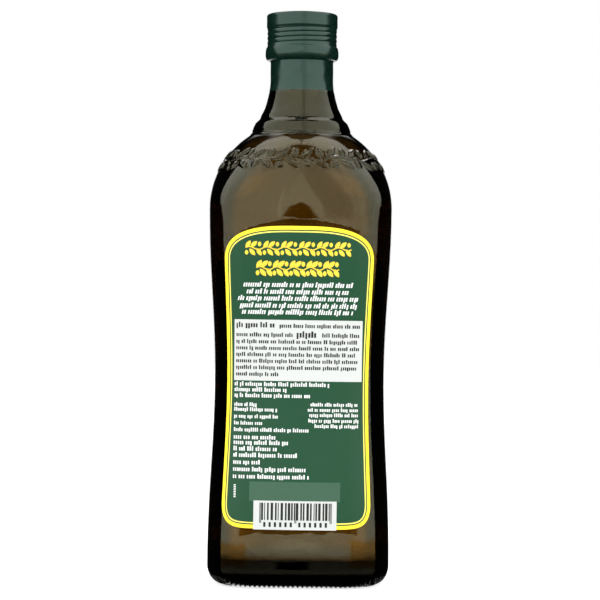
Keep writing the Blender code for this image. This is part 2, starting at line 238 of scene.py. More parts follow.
def bodyHalf(z):
    # two half cosine waves, foot to waist and waist to shoulder, then a flattened ellipse over the shoulder
    low = np.cos(np.pi * np.clip((z - form["footZ"]) / (form["waistZ"] - form["footZ"]), 0, 1))
    high = -np.cos(np.pi * np.clip((z - form["waistZ"]) / (form["shoulderZ"] - form["waistZ"]), 0, 1))
    foot, waist, shoulder = form["footHalf"], form["waistHalf"], form["shoulderHalf"]
    lower = (foot + waist) / 2 + (foot - waist) / 2 * low
    upper = (shoulder + waist) / 2 + (shoulder - waist) / 2 * high
    lean = np.clip((z - form["shoulderZ"]) / form["shoulderRise"], 0, 0.999)
    return np.where(z < form["waistZ"], lower, upper * (1 - lean**2) ** form["shoulderPower"])


def innerHalf(z):
    # the outer form less the wall, with a lower shoulder of its own
    lean = np.clip((z - form["shoulderZ"]) / form["innerShoulderRise"], 0, 0.999)
    straight = bodyHalf(np.minimum(z, form["shoulderZ"])) - form["wall"]
    return straight * (1 - lean**2) ** form["shoulderPower"]


def cornerAt(z, half, corner):
    return corner + (half - corner) * smoothStep(z, form["roundFrom"], form["roundTo"])


def faceRadius(half, corner):
    spread = math.cos(form["faceTurn"]) - math.sin(form["faceTurn"])
    return (half - corner * spread) / (1 - spread)


def sectionPoint(half, corner, turn):
    # out from the middle of a face and along it, for an outward normal turned by this angle: an arc of the
    # face's large radius up to the face turn, then an arc of the corner's radius about the corner's centre
    flat = faceRadius(half, corner)
    centre = (flat - corner) * math.sin(form["faceTurn"])
    onFace = np.abs(turn) <= form["faceTurn"]
    out = np.where(onFace, half - flat * (1 - np.cos(turn)), centre + corner * np.cos(turn))
    along = np.where(onFace, flat * np.sin(turn), np.sign(turn) * centre + corner * np.sin(turn))
    return out, along


def sectionRings(z, half, corner, columns):
    # rings with their points evenly spaced along each quarter's own length
    z, half, corner = (np.asarray(value, float)[:, None] for value in (z, half, corner))
    share = np.arange(columns)[None, :] / columns * 4
    quarter = np.floor(share + 0.5)
    part = share - quarter
    bow = form["faceTurn"]
    flat = faceRadius(half, corner)
    length = 2 * flat * bow + corner * (np.pi / 2 - 2 * bow)
    run = np.abs(part) * length
    turn = np.where(run < flat * bow, run / flat, bow + (run - flat * bow) / corner) * np.sign(part)
    out, along = sectionPoint(half, corner, turn)
    spin = quarter * np.pi / 2
    x = out * np.cos(spin) - along * np.sin(spin)
    y = out * np.sin(spin) + along * np.cos(spin)
    return np.stack([x, y, np.broadcast_to(z, x.shape)], 2)


def flareRadius(z):
    drop = np.maximum(0.0, form["flareTopZ"] - z) / form["flareHeight"]
    return form["neckRadius"] + form["flareGrowth"] * drop ** form["flarePower"]


def flareSwell(z):
    # a soft bulge at the foot of the neck: one smooth step up from the ring's end, times one down above it
    up = smoothStep(z, form["ringPath"][-1][0], form["swellZ"])
    return form["swell"] * smoothStep(-z, -form["swellTop"], -form["swellZ"]) * up


def neckInnerRadius(z):
    # the bore widens smoothly from under the finish down to the shoulder
    share = np.clip((form["flareTopZ"] - z) / (form["flareTopZ"] - form["innerNeckZ"]), 0, 1)
    return form["boreRadius"] + (form["innerNeckRadius"] - form["boreRadius"]) * share**2


def spreadOver(spans):
    # evenly spaced values over each span, from, to and count, without the first of each
    return np.concatenate([np.linspace(low, high, count)[1:] for low, high, count in spans])


def outerProfile():
    # heights, half widths and corner radii from the middle of the base up to the mouth
    bearingOut = form["footHalf"] - form["heelInset"]
    bearingIn = bearingOut - form["bearingWidth"]
    cornerIn = form["bearingCorner"] - form["bearingWidth"]
    share = np.linspace(0.12, 1, form["puntRows"])
    parts = [(form["puntDepth"] * (1 - share**3), bearingIn * share, cornerIn * share)]
    across = form["bearingWidth"] * np.linspace(0, 1, 5)[1:-1]
    parts.append((0 * across, bearingIn + across, cornerIn + across))
    turn = np.linspace(0, np.pi / 2, 16)
    heelHalf = bearingOut + form["heelInset"] * np.sin(turn)
    heelCorner = form["bearingCorner"] + (form["corner"] - form["bearingCorner"]) * np.sin(turn)
    parts.append((form["heelRise"] * (1 - np.cos(turn)), heelHalf, heelCorner))
    straight = np.linspace(form["heelRise"], form["shoulderZ"], 21)[1:]
    endLean = math.asin((form["shoulderEndZ"] - form["shoulderZ"]) / form["shoulderRise"])
    over = form["shoulderRise"] * np.sin(endLean * spreadOver(form["shoulderRows"]))
    z = np.append(straight, form["shoulderZ"] + over)
    parts.append((z, bodyHalf(z), cornerAt(z, bodyHalf(z), form["corner"])))
    path = np.array(form["ringPath"])
    along = np.linspace(0, len(path) - 1, 16)[1:]
    z = np.interp(along, np.arange(len(path)), path[:, 0])
    radius = np.interp(along, np.arange(len(path)), path[:, 1])
    parts.append((z, radius, radius))
    # the flare starts at the radius where the ring ends and blends over to its own curve
    ringZ, ringRadius = form["ringPath"][-1]
    z = spreadOver(form["flareRows"])
    blend = 1 - smoothStep(z, ringZ, form["ringBlendZ"])
    radius = flareRadius(z) + flareSwell(z) - (flareRadius(ringZ) - ringRadius) * blend
    parts.append((z, radius, radius))
    # under the film the neck is set in, up to the mouth's rounded edge
    mouthZ, rounding = form["mouthZ"], form["mouthRounding"]
    z = np.array([form["neckInsetZ"], form["flareTopZ"], form["neckStraightZ"], mouthZ - rounding, mouthZ])
    radius = flareRadius(z) - form["neckInset"]
    radius[-1] -= rounding
    parts.append((z, radius, radius))
    return [np.concatenate(column) for column in zip(*parts)]


def innerProfile(push=0.0, top=None):
    # the same for the inside; push moves it out into the wall, and top cuts it off at a level
    heel, heelCorner = form["innerHeel"], form["innerHeelCorner"]
    floorZ = form["floorZ"] - push
    start = innerHalf(np.array(form["floorZ"] + heel)) - heel
    corner = form["corner"] - form["wall"]
    share = np.linspace(0.1, 0.95, 6)
    crown = form["floorCrown"] * (1 - share**2)
    parts = [(floorZ + crown, start * share + push, (corner + heelCorner) * share)]
    turn = np.linspace(0, np.pi / 2, 8)
    z = floorZ + (heel + push) * (1 - np.cos(turn))
    cornerHere = corner + heelCorner * (1 - np.sin(turn)) + push
    parts.append((z, start + heel * np.sin(turn) + push, cornerHere))
    straight = np.linspace(form["floorZ"] + heel, form["shoulderZ"], 15)[1:]
    endLean = math.asin((form["innerShoulderEndZ"] - form["shoulderZ"]) / form["innerShoulderRise"])
    over = form["innerShoulderRise"] * np.sin(np.linspace(0, endLean, 12)[1:])
    z = np.append(straight, form["shoulderZ"] + over)
    parts.append((z, innerHalf(z) + push, cornerAt(z, innerHalf(z) + push, corner + push)))
    z = np.linspace(form["innerNeckZ"], form["flareTopZ"], 9)
    parts.append((z, neckInnerRadius(z) + push, neckInnerRadius(z) + push))
    z = np.array([form["mouthZ"] - form["mouthRounding"], form["mouthZ"]])
    radius = form["boreRadius"] + np.array([0, form["mouthRounding"]])
    parts.append((z, radius, radius))
    z, half, corner = [np.concatenate(column) for column in zip(*parts)]
    if top is None:
        return z, half, corner
    kept = z < top - 0.8  # rows nearer to the level than this are left out
    radius = float(neckInnerRadius(np.array(top)) + push)
    return np.append(z[kept], top), np.append(half[kept], radius), np.append(corner[kept], radius)


garland = {
    "low": 186.5, "high": 200.0, "repeats": 10, "depth": 0.5, "edge": 0.45,
    "round": 232.0,  # the shoulder's own length round, where the garland lies
    "slope": 1.22,  # the way up the shoulder for each millimetre of height
    "stemWave": 1.1, "stemHalf": 0.75, "stemHeight": 0.8,
    # place along one repeat, height, lean, length and width of each leaf
    "leaves": (
        (0.12, 3.4, 0.72, 8.6, 3.3), (0.62, 3.1, 0.66, 8.4, 3.2),
        (0.36, -3.2, -0.72, 8.4, 3.2), (0.88, -3.4, -0.66, 8.6, 3.3),
    ),
    "veinHalf": 0.3, "veinDepth": 0.4,
    "olives": ((0.11, -3.4), (0.37, 3.6), (0.62, -3.0), (0.87, 3.4)),
    "oliveRadius": 1.7, "oliveHeight": 1.25,
}


def garlandRelief(z, columns):
    # a sine wave of a stem with leaves above and below it and olives between, all round; a leaf's half width
    # falls off with the square of the way to its tip, and an olive is a dome
    period = garland["round"] / garland["repeats"]
    edge = garland["edge"]
    x = (np.arange(columns) / columns * garland["repeats"] % 1.0 * period)[None, :]
    y = ((z - (garland["low"] + garland["high"]) / 2) * garland["slope"])[:, None]
    stem = np.abs(y - garland["stemWave"] * np.sin(2 * np.pi * x / period))
    relief = smoothStep(garland["stemHalf"] - stem, 0, edge) * garland["stemHeight"]
    for place, up, lean, length, width in garland["leaves"]:
        c, k = math.cos(lean), math.sin(lean)
        for shift in (-period, 0, period):
            right = x - place * period - shift
            u = right * c + (y - up) * k
            v = (y - up) * c - right * k
            inside = width / 2 * (1 - (2 * u / length) ** 2) - np.abs(v)
            vein = 1 - garland["veinDepth"] * np.exp(-((v / garland["veinHalf"]) ** 2))
            relief = np.maximum(relief, smoothStep(inside, 0, edge) * vein)
    for place, up in garland["olives"]:
        for shift in (0, period):
            far = np.hypot(x - place * period - shift, (y - up) * 0.8) / garland["oliveRadius"]
            relief = np.maximum(relief, garland["oliveHeight"] * np.sqrt(np.clip(1 - far**2, 0, 1)))
    return relief


print("glass and oil")
z, half, corner = outerProfile()
outside = sectionRings(z, half, corner, form["columns"])
lift = np.zeros(outside.shape[:2])
inBand = (z > garland["low"]) & (z < garland["high"])
lift[inBand] = garlandRelief(z[inBand], form["columns"]) * garland["depth"]
# the knurled edge that the bottle stands on: notches between small bumps, a cosine wave in the distance from
# the middle of each face, so that they run straight out from it, deepest at the floor and gone up the heel
wave = 0.5 - 0.5 * np.cos(2 * np.pi * np.abs(outside[:, :, :2]).min(axis=2) / form["knurlPitch"])
bearing = (np.arange(len(z)) >= form["puntRows"] - 1) & (z < form["knurlFadeTo"])
fade = 1 - smoothStep(z, form["knurlFadeFrom"], form["knurlFadeTo"])
knurl = (bearing * form["knurlDepth"] * fade)[:, None] * wave
outside = outside + unitNormals(outside) * (lift - knurl)[:, :, None]
z, half, corner = innerProfile()
inside = sectionRings(z, half, corner, form["columns"] // 2)

glassFinish = {
    "mirrorTint": (1.0, 0.975, 0.64, 1.0), "depthColour": (0.30, 0.25, 0.057, 1.0), "density": 700.0,
    "wave": 16, "waveDepth": 0.05, "crispDepth": 0.26,
}

# Soda-lime container glass, press-and-blow moulded: dark olive-brown, fire polished, with faint waves where
# the hot glass met the mould, and a clear depth that goes nearly black where the light's way is long.
bottleGlass, tree, shader = clearMaterial("mouldedOliveGlass", 1.52, glassFinish)
shader.inputs["Specular Tint"].default_value = glassFinish["mirrorTint"]
place = addNode(tree, "ShaderNodeTexCoord").outputs["Object"]
slow = {"Scale": 1000 / glassFinish["wave"], "Detail": 2.0}
waves = addNode(tree, "ShaderNodeTexNoise", slow, {"Vector": place})
# the mesh rounds the relief's crisp edges, so its height is read again here as bump
relief = addNode(tree, "ShaderNodeAttribute", attribute_name="relief").outputs["Fac"]
deep = {"Strength": 1.0, "Distance": glassFinish["crispDepth"] * mm}
crisp = addNode(tree, "ShaderNodeBump", deep, {"Height": relief})
deep = {"Strength": 1.0, "Distance": glassFinish["waveDepth"] * mm}
bump = addNode(tree, "ShaderNodeBump", deep, {"Height": waves, "Normal": crisp})
tree.links.new(bump.outputs["Normal"], shader.inputs["Normal"])

glassPoints, glassFaces = closedByHalving(outside, inside[::-1])
bottle = newPiece("bottle_glass_shell", glassPoints, glassFaces, bottleGlass)
reliefHeight = np.zeros(len(glassPoints))
reliefHeight[:lift.size] = lift.ravel() / garland["depth"]
bottle.data.attributes.new("relief", "FLOAT", "POINT").data.foreach_set("value", reliefHeight)
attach(bottle, "root")
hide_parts("glass_bottle")

oilFinish = {"depthColour": (0.95, 0.725, 0.05, 1.0), "density": 40.0}

# Filtered olive oil: clear golden green, its surface mirror smooth.
oilLiquid, tree, shader = clearMaterial("filteredOliveOil", 1.47, oilFinish)
z, half, corner = innerProfile(form["oilIntoWall"], form["oilLevel"])
z[-1] += form["oilRise"]  # the rim of the level climbs the wall a little
flat = half[-1] - form["oilRiseWidth"]
z, half, corner = np.append(z, form["oilLevel"]), np.append(half, flat), np.append(corner, flat)
oilPoints, oilFaces = closedByPoles(sectionRings(z, half, corner, form["oilColumns"]))
oil = newPiece("oil_fill", oilPoints, oilFaces, oilLiquid)
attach(oil, "root")
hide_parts("olive_oil")


filmForm = {
    "endZ": 226.0, "slant": 0.25, "slantTurn": 0.3, "slantTo": 236.0,
    "beadFootZ": 240.2, "beadFootOut": 0.35, "beadZ": 243.4, "beadRadius": 17.05,
    "beadLow": 3.0, "beadHigh": 3.3, "lowPower": 0.6, "highPower": 0.75,
    "threadRadius": 16.2, "threadFrom": 247.6, "threadTo": 255.2,
    "pitch": 2.2, "groove": 0.25, "grooveHalf": 0.17,
    "topRadius": 16.5, "topRise": 0.9, "rim": 1.1, "lip": 12.6, "top": 262.0, "thick": 0.2, "columns": 288,
    # how far the film lies in, then each crease: its height, waves round, turn for each mm up, and start
    "creaseInset": 0.07, "creases": ((0.018, 5, 0.6, 0.0), (0.014, 11, -0.9, 1.0), (0.01, 23, 0.35, 2.0)),
    "creaseAbove": 0.35, "skirtTo": (238.0, 242.0), "creaseTo": (259.0, 261.0),
}


def filmProfile():
    # radius and height along the outside, from the cut edge over the bead, thread and rim to the lip; the
    # bead is two quarters of an ellipse made fuller by a power of the cosine
    f = filmForm
    z = np.linspace(f["endZ"], f["beadFootZ"], 34)
    parts = [(flareRadius(z), z)]
    turn = np.linspace(-np.pi / 2, 0, 14)[1:]
    beadFoot = form["neckRadius"] + f["beadFootOut"]
    radius = beadFoot + (f["beadRadius"] - beadFoot) * np.cos(turn) ** f["lowPower"]
    parts.append((radius, f["beadZ"] + f["beadLow"] * np.sin(turn)))
    turn = np.linspace(0, np.pi / 2, 14)[1:]
    radius = f["threadRadius"] + (f["beadRadius"] - f["threadRadius"]) * np.cos(turn) ** f["highPower"]
    parts.append((radius, f["beadZ"] + f["beadHigh"] * np.sin(turn)))
    z = np.linspace(f["threadFrom"], f["threadTo"], 60)
    parts.append((np.full_like(z, f["threadRadius"]), z))
    z = np.linspace(f["threadTo"], f["top"] - f["rim"], 18)[1:]
    swell = smoothStep(z, f["threadTo"], f["threadTo"] + f["topRise"])
    parts.append((f["threadRadius"] + (f["topRadius"] - f["threadRadius"]) * swell, z))
    turn = np.linspace(0, np.pi / 2, 12)[1:]
    rimRadius, rimZ = f["topRadius"] - f["rim"], f["top"] - f["rim"]
    parts.append((rimRadius + f["rim"] * np.cos(turn), rimZ + f["rim"] * np.sin(turn)))
    radius = np.linspace(rimRadius, f["lip"], 8)[1:]
    parts.append((radius, np.full_like(radius, f["top"])))
    return [np.concatenate(column) for column in zip(*parts)]


print("film and cap")
radius, z = filmProfile()
around = np.arange(filmForm["columns"]) / filmForm["columns"] * 2 * np.pi
turnGrid, zGrid = np.meshgrid(around, z)
radiusGrid = np.repeat(radius[:, None], filmForm["columns"], 1)
# the rolled thread: a narrow groove that climbs to the right by one pitch a turn, fading at both ends
threadFrom, threadTo = filmForm["threadFrom"], filmForm["threadTo"]
phase = (zGrid - threadFrom) / filmForm["pitch"] - turnGrid / (2 * np.pi)
groove = np.exp(-(((phase % 1.0) - 0.5) / filmForm["grooveHalf"]) ** 2)
starting = smoothStep(zGrid, threadFrom - 0.4, threadFrom + 0.8)
ending = smoothStep(zGrid, threadTo - 1.0, threadTo + 0.2)
radiusGrid = radiusGrid - filmForm["groove"] * groove * (starting * (1 - ending))
# soft creases that the heat left in the film: a few slow sine waves round and up, strongest on the skirt
creases = -filmForm["creaseInset"]
for height, waves, rising, start in filmForm["creases"]:
    creases = creases + height * np.sin(waves * turnGrid + rising * zGrid + start)
onSkirt = 1 - smoothStep(zGrid, *filmForm["skirtTo"])
strong = filmForm["creaseAbove"] + (1 - filmForm["creaseAbove"]) * onSkirt
radiusGrid = radiusGrid + creases * strong * (1 - smoothStep(zGrid, *filmForm["creaseTo"]))
cut = filmForm["slant"] * np.sin(turnGrid - filmForm["slantTurn"])
cut = cut * (1 - smoothStep(zGrid, filmForm["endZ"], filmForm["slantTo"]))
outerFilm = np.stack([radiusGrid * np.cos(turnGrid), radiusGrid * np.sin(turnGrid), zGrid + cut], 2)
innerFilm = (outerFilm - unitNormals(outerFilm) * filmForm["thick"])[::3][::-1]
filmPoints, filmFaces = closedRound(np.concatenate([outerFilm, innerFilm]))

# PVC shrink film, dyed dark green and shrunk on by heat: glossy, with soft creases and fine specks.
shrinkFilm, tree, shader = startMaterial("greenShrinkFilm", {
    "Roughness": 0.22, "IOR": 1.62, "Specular Tint": (0.69, 1.0, 0.87, 1.0),
})
fineSurface(tree, shader, "071c15", 0.16, (0.15, 0.25), coarse=9.0, fine=0.5, depth=0.012)
film = newPiece("shrink_film", filmPoints, filmFaces, shrinkFilm)
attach(film, "root")
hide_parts("shrink_capsule")

# Aluminium cap, drawn and lacquered green: satin metal under a clear tint.
lacqueredCap, tree, shader = startMaterial("lacqueredAluminium", {
    "Metallic": 0.7, "Roughness": 0.32, "Coat Weight": 0.5, "Coat Roughness": 0.12,
})
fineSurface(tree, shader, "1f4a3b", 0.15, (0.26, 0.4), coarse=6.0, fine=0.35, depth=0.01)
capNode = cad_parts["screw_cap"]
capNode.data.materials.clear()
capNode.data.materials.append(lacqueredCap)


label = {
    "half": 34.7, "waistLoss": 2.0, "footZ": 27.3, "height": 135.2, "arch": 15.5, "archPower": 3.2,
    "footArch": 12.0, "footPower": 9.0, "cornerPower": 1 / 2.2, "tip": 0.9995,
    "shift": -0.9, "tilt": math.radians(0.4),
    "gap": 0.02, "paper": 0.12, "ink": 0.03, "inkSunk": 0.01,
    "borderWidth": 1.7, "lineFrom": 2.25, "lineTo": 2.85,
}


def labelHalf(z):
    waist = 0.5 - 0.5 * np.cos(2 * np.pi * (z - form["footZ"]) / (form["shoulderZ"] - form["footZ"]))
    return label["half"] - label["waistLoss"] * waist


def labelTop(share):
    drop = 1 - (1 - np.abs(share) ** label["archPower"]) ** label["cornerPower"]
    return label["footZ"] + label["height"] - label["arch"] * drop


def labelFoot(share):
    rise = 1 - (1 - np.abs(share) ** label["footPower"]) ** label["cornerPower"]
    return label["footZ"] + label["footArch"] * rise


def onLabel(s, z, lift, side):
    # from the label's own flat sheet, s across and z up, onto the glass: turned and shifted as it was glued,
    # then laid along the section, and lifted square to it
    s, z = np.broadcast_arrays(np.asarray(s, float), np.asarray(z, float))
    if side == "back":
        middle = label["footZ"] + label["height"] / 2
        c, k = math.cos(label["tilt"]), math.sin(label["tilt"])
        s, z = s * c + (z - middle) * k + label["shift"], middle + (z - middle) * c - s * k
    half = bodyHalf(z)
    corner = cornerAt(z, half, form["corner"])
    flat = faceRadius(half, corner)
    reach = flat * form["faceTurn"]
    far = np.abs(s)
    turn = np.sign(s) * np.where(far < reach, far / flat, form["faceTurn"] + (far - reach) / corner)
    out, along = sectionPoint(half, corner, turn)
    out, along = out + lift * np.cos(turn), along + lift * np.sin(turn)
    point = np.stack([along, -out, z], -1)
    return point if side == "back" else point * np.array([-1, -1, 1])


def labelSheet(side):
    share = np.sin(np.linspace(-np.pi / 2, np.pi / 2, 73)) * label["tip"]
    up = np.linspace(0, 1, 69)
    shareGrid, upGrid = np.meshgrid(share, up)
    z = labelFoot(shareGrid) + (labelTop(shareGrid) - labelFoot(shareGrid)) * upGrid
    s = shareGrid * labelHalf(z)
    gap, paper = label["gap"], label["paper"]
    return slab(onLabel(s, z, gap + paper, side), onLabel(s, z, gap, side))


def labelOutline(count=520):
    # the edge of the sheet as evenly spaced points, with the direction that leads inwards
    t = np.sin(np.linspace(-np.pi / 2, np.pi / 2, 400)) * label["tip"]
    foot = np.stack([t * labelHalf(labelFoot(t)), labelFoot(t)], 1)
    zSide = np.linspace(labelFoot(label["tip"]), labelTop(label["tip"]), 200)[1:-1]
    right = np.stack([label["tip"] * labelHalf(zSide), zSide], 1)
    top = np.stack([t * labelHalf(labelTop(t)), labelTop(t)], 1)[::-1]
    left = right[::-1] * np.array([-1, 1])
    edge = np.concatenate([foot, right, top, left])
    step = np.linalg.norm(np.roll(edge, -1, 0) - edge, axis=1)
    way = np.concatenate([[0], np.cumsum(step)])
    closed = np.concatenate([edge, edge[:1]])
    spots = np.arange(count) / count * way[-1]
    line = np.stack([np.interp(spots, way, closed[:, k]) for k in (0, 1)], 1)
    heading = np.roll(line, -2, 0) - np.roll(line, 2, 0)
    heading /= np.linalg.norm(heading, axis=1, keepdims=True)
    return line, np.stack([-heading[:, 1], heading[:, 0]], 1)


def printLift(level):
    base = label["gap"] + label["paper"]
    return base - label["inkSunk"] + level * label["ink"], base + (level + 1) * label["ink"]


def borderStrip(inner, outer, side, level=0):
    # a closed band that follows the label's edge between two distances from it
    line, inwards = labelOutline()
    a, b = line + inwards * inner, line + inwards * outer
    low, high = printLift(level)
    corners = ((a, low), (a, high), (b, high), (b, low))
    return closedRound(np.stack([onLabel(*line.T, lift, side) for line, lift in corners], 0))


def patch(s0, s1, z0, z1, side, level=1, step=1.2):
    # a rectangle of ink, cut fine enough to follow the glass
    s = np.linspace(s0, s1, max(2, int((s1 - s0) / step) + 1))
    z = np.linspace(z0, z1, max(2, int((z1 - z0) / 4) + 1))
    sGrid, zGrid = np.meshgrid(s, z)
    low, high = printLift(level)
    return slab(onLabel(sGrid, zGrid, high, side), onLabel(sGrid, zGrid, low, side))


def blocks(boxes, side, level=2, slant=0.0):
    # many small upright blocks at once: boxes holds left, right, foot and top of each
    boxes = np.asarray(boxes, float)
    left, right, foot, top = boxes.T
    lean = slant * (top - foot)
    s = np.stack([left, right, right + lean, left + lean], 1)
    z = np.stack([foot, foot, top, top], 1)
    low, high = printLift(level)
    points = np.concatenate([onLabel(s, z, high, side), onLabel(s, z, low, side)], 1).reshape(-1, 3)
    one = [[0, 1, 2, 3], [7, 6, 5, 4], [1, 0, 4, 5], [2, 1, 5, 6], [3, 2, 6, 7], [0, 3, 7, 4]]
    faces = (np.array(one)[None] + np.arange(len(boxes))[:, None, None] * 8).reshape(-1, 4)
    return points, [faces]


# how plain blocks stand in for small print: how many to a group, widths and gaps in pitches, and the shares
# of them that reach up or down and how far in heights
printForm = {
    "group": (2, 9), "weight": 0.68, "uneven": (0.85, 1.1), "gap": 0.75,
    "upShare": 0.25, "up": 0.35, "downShare": 0.1, "down": 0.3, "slant": 0.22,
}


def wordRow(rng, s0, s1, foot, height, pitch):
    # a row of blocks in groups, as wide and as dense as a line of small print
    p = printForm
    boxes = []
    at = s0
    while at < s1 - pitch:
        for _ in range(int(rng.integers(*p["group"]))):
            if at > s1 - pitch * p["weight"]:
                break
            tall = rng.random()
            top = foot + height * (1 + p["up"] if tall < p["upShare"] else 1.0)
            low = foot - (height * p["down"] if tall > 1 - p["downShare"] else 0.0)
            boxes.append((at, at + pitch * p["weight"] * rng.uniform(*p["uneven"]), low, top))
            at += pitch
        at += pitch * p["gap"]
    return boxes


def printRows(height, pitch, *spans):
    # rows of print, each with from, to, foot height, block height and block pitch in mm
    return [(*span, height, pitch) for span in spans]


whiteLeaning = printRows(
    1.7, 1.02, (-24.8, 24.4, 135.2), (-23.3, 22.6, 132.1), (-27.3, 27.0, 129.1), (-26.4, 25.9, 125.9),
    (-25.4, 25.0, 123.0),
)
whiteRows = printRows(1.4, 0.95, (-28.4, 14.8, 90.8), (-28.4, -3.9, 88.3), (-28.4, 6.5, 85.7))
whiteRows += printRows(
    1.25, 0.85, (-28.4, -16.7, 81.7), (-28.4, -8.2, 79.5), (-28.4, -8.2, 76.4), (-28.4, -14.8, 73.4),
)
whiteRows += printRows(
    1.2, 0.82, (6.1, 27.7, 82.1), (4.9, 27.7, 79.7), (5.6, 27.7, 77.4), (5.2, 27.7, 74.9), (8.0, 27.7, 72.5),
)
whiteRows += printRows(1.3, 0.9, (-28.4, 6.7, 70.4))
whiteRows += printRows(
    1.5, 1.0, (-28.4, -8.9, 67.0), (-28.4, -2.2, 64.6), (-28.4, -8.0, 61.8), (-28.4, 1.0, 59.0),
    (-28.4, -14.9, 55.8), (-28.4, 5.0, 52.7), (-28.4, 6.5, 49.5),
)
darkRows = printRows(1.8, 1.15, (-27.8, -9.5, 117.0))
darkRows += printRows(1.4, 0.92, (-8.3, 28.0, 117.0), (-27.8, -2.0, 112.9))
darkRows += printRows(2.1, 1.3, (-0.6, 9.6, 112.7))
darkRows += printRows(1.4, 0.92, (10.8, 28.0, 112.9))
darkRows += printRows(
    1.35, 0.92, (-27.8, 27.0, 109.9), (-27.8, 28.0, 107.0), (-27.8, 26.0, 104.1), (-27.8, 28.0, 101.2),
    (-27.8, 27.4, 98.3), (-27.8, -8.0, 95.3),
)


def leafShape(s, z, heading, length, width, power=0.9):
    # a pointed ellipse: its half width falls off as (1 - t^2) to a power, t from -1 to 1 along it
    t = np.linspace(-0.99, 0.99, 9)[:, None]
    half = width / 2 * (1 - t**2) ** power * np.array([[1.0, 0.0, -1.0]])
    along = length / 2 * t
    c, k = math.cos(heading), math.sin(heading)
    return s + along * c - half * k, z + along * k + half * c


def oliveShape(s, z, heading, length, width):
    return leafShape(s, z, heading, length, width, power=0.5)


def stemShape(s, z, width):
    # a strip of one width along a line of points, its two edges set off square to the line
    ds, dz = np.gradient(s), np.gradient(z)
    length = np.hypot(ds, dz)
    half = width / 2 * np.array([[1.0, -1.0]])
    return s[:, None] - half * (dz / length)[:, None], z[:, None] + half * (ds / length)[:, None]


# the running branch: stem and end gap in mm, the rest in shares of its height; each leaf and olive has its
# place along one repeat, its height off the middle and, for a leaf, its heading
branchForm = {
    "stem": 0.5, "endGap": 0.3, "wave": 0.09,
    "leaves": ((0.18, 0.24, 1.0), (0.5, 0.25, 0.75), (0.42, -0.25, -0.85), (0.80, -0.24, -1.0)),
    "leafLength": 0.56, "leafWidth": 0.27,
    "olives": ((0.82, 0.26), (0.1, -0.28)), "oliveLength": 0.3, "oliveWidth": 0.22,
}


def branchRow(s0, s1, foot, height, repeats):
    # a sine wave of a stem, and in each repeat leaves and olives about it
    b = branchForm
    pitch = (s1 - s0) / repeats
    middle = foot + height / 2
    s = np.linspace(s0 + b["endGap"], s1 - b["endGap"], repeats * 12)
    wave = b["wave"] * height * np.sin(2 * np.pi * (s - s0) / pitch)
    shapes = [stemShape(s, middle + wave, b["stem"])]
    for left in s0 + np.arange(repeats) * pitch:
        for place, up, heading in b["leaves"]:
            spot = (left + place * pitch, middle + up * height)
            shapes.append(leafShape(*spot, heading, b["leafLength"] * height, b["leafWidth"] * height))
        for place, up in b["olives"]:
            spot = (left + place * pitch, middle + up * height)
            size = (b["oliveLength"] * height, b["oliveWidth"] * height)
            shapes.append(oliveShape(*spot, math.pi / 2, *size))
    return shapes


def sprig(centre, reach, rise, pairs, leaf, olive):
    # a bowed stem with leaves in pairs that shorten towards its tip, and a last leaf in line with it
    u = np.linspace(-1, 1, 40)
    s, z = centre[0] + reach * u, centre[1] + rise * (0.75 * u + 0.25 * u**2)
    shapes = [stemShape(s, z, 0.9)]
    for k in range(pairs):
        at = -0.75 + 1.55 * k / (pairs - 1)
        foot = np.array([centre[0] + reach * at, centre[1] + rise * (0.75 * at + 0.25 * at**2)])
        way = math.atan2(rise * (0.75 + 0.5 * at), reach)
        length = leaf * (1.0 - 0.22 * max(at, 0))
        for side in (-1, 1):
            heading = way + side * 0.78
            middle = foot + length * 0.56 * np.array([math.cos(heading), math.sin(heading)])
            shapes.append(leafShape(middle[0], middle[1], heading, length, length * 0.3))
    tip = (s[-1] + leaf * 0.4, z[-1] + leaf * 0.25)
    shapes.append(leafShape(*tip, math.atan2(rise * 1.25, reach), leaf * 0.85, leaf * 0.26))
    fruit = []
    for right, up in ((-9.0, -10.0), (3.0, -7.0), (-2.5, 6.5)):
        fruit.append(oliveShape(centre[0] + right, centre[1] + up, 1.2, olive * 1.3, olive))
    return shapes, fruit


def inked(shapes, side, level=2):
    low, high = printLift(level)
    return [slab(onLabel(s, z, high, side), onLabel(s, z, low, side)) for s, z in shapes]


# Coated label paper, offset printed and varnished: a smooth satin face, faint fibre under the ink.
def printedPaper(name, colour, gloss=(0.38, 0.5), shine=0.35):
    material, tree, shader = startMaterial(name, {"Specular IOR Level": shine})
    fineSurface(tree, shader, colour, 0.05, gloss, coarse=14.0, fine=0.25, depth=0.004)
    return material


greenPaper = printedPaper("greenVarnishedPaper", "114329", gloss=(0.27, 0.36), shine=0.3)
yellowInk = printedPaper("yellowInk", "fbdf2a")
paleLineInk = printedPaper("paleYellowInk", "e6dc62")
goldInk = printedPaper("goldInk", "e3c53a")
whiteInk = printedPaper("whiteInk", "dcdedc")
panelPaper = printedPaper("whitePanelPaper", "c0c3c0")
blackInk = printedPaper("blackInk", "171a18")
lightGreenInk = printedPaper("lightGreenInk", "355843")


def labelPiece(name, parts, material, replaced=None):
    points, faces = joined(parts)
    piece = newPiece(name, points, faces, material, smooth=False)
    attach(piece, "root")
    if replaced:
        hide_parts(replaced)


